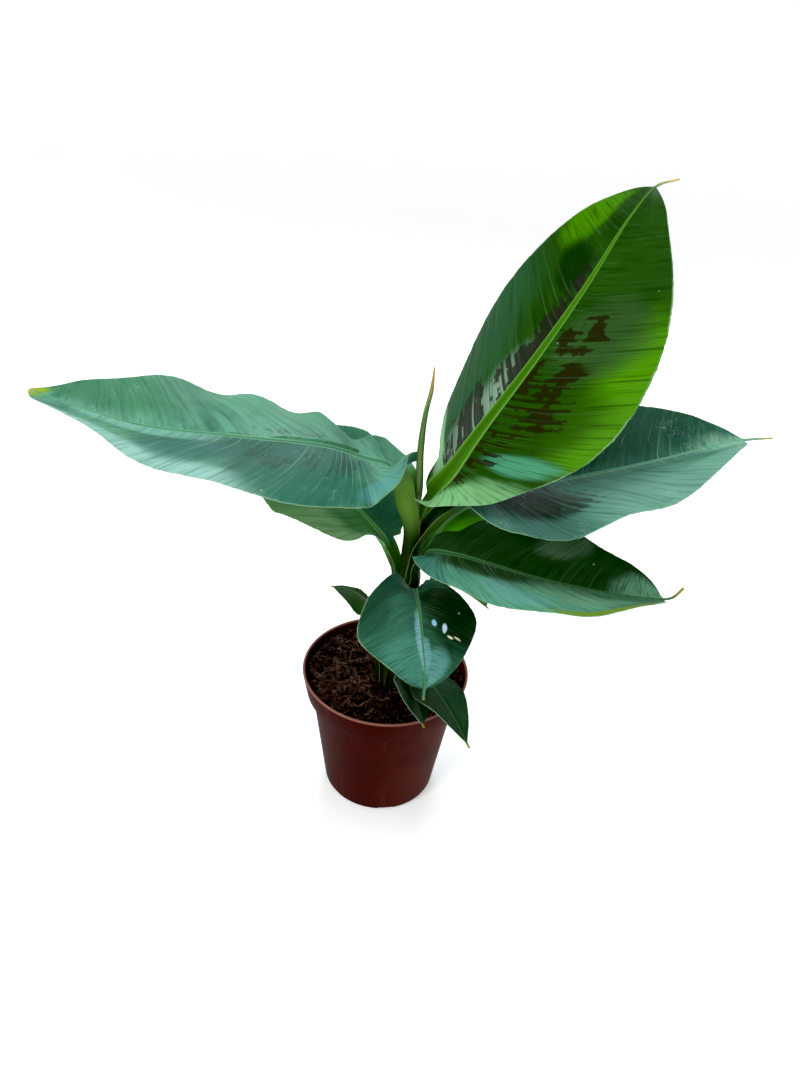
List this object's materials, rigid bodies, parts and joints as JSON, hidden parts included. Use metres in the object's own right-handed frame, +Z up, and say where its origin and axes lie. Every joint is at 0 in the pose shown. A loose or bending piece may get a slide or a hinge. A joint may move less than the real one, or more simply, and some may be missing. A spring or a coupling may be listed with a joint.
{
  "type": "potted banana plant",
  "caption": "Young banana plant with broad arching leaves, a rolled spear leaf and a sheathed stem, in a round tapered plastic nursery pot filled with soil",
  "frame": {"origin": "Centre of the pot's base, on the plane the pot stands on.", "axes": "+Z is up. +X is to the right of someone who faces the plant with the two tallest leaves spread to the left and right, and +Y points away from that person."},
  "size_m": [0.4772, 0.1842, 0.4332],
  "materials": {
    "pot_plastic": "satin",
    "soil_mix": "matte",
    "spear_green": "satin",
    "leaf_young": "satin",
    "leaf_grown": "satin",
    "leaf_dark": "satin"
  },
  "bodies": {
    "root": {"pot": "pot_plastic", "soil": "soil_mix", "spear": "spear_green", "leaf_top_right": "leaf_young", "leaf_top_left": "leaf_grown", "leaf_middle_right": "leaf_grown", "leaf_rear_right": "leaf_young", "leaf_lower_right": "leaf_grown", "leaf_lower_left": "leaf_grown", "leaf_small_right": "leaf_dark", "leaf_front": "leaf_dark", "leaf_small_left": "leaf_dark", "leaf_small_front_right": "leaf_dark", "leaf_small_front": "leaf_dark"}
  },
  "joints": []
}
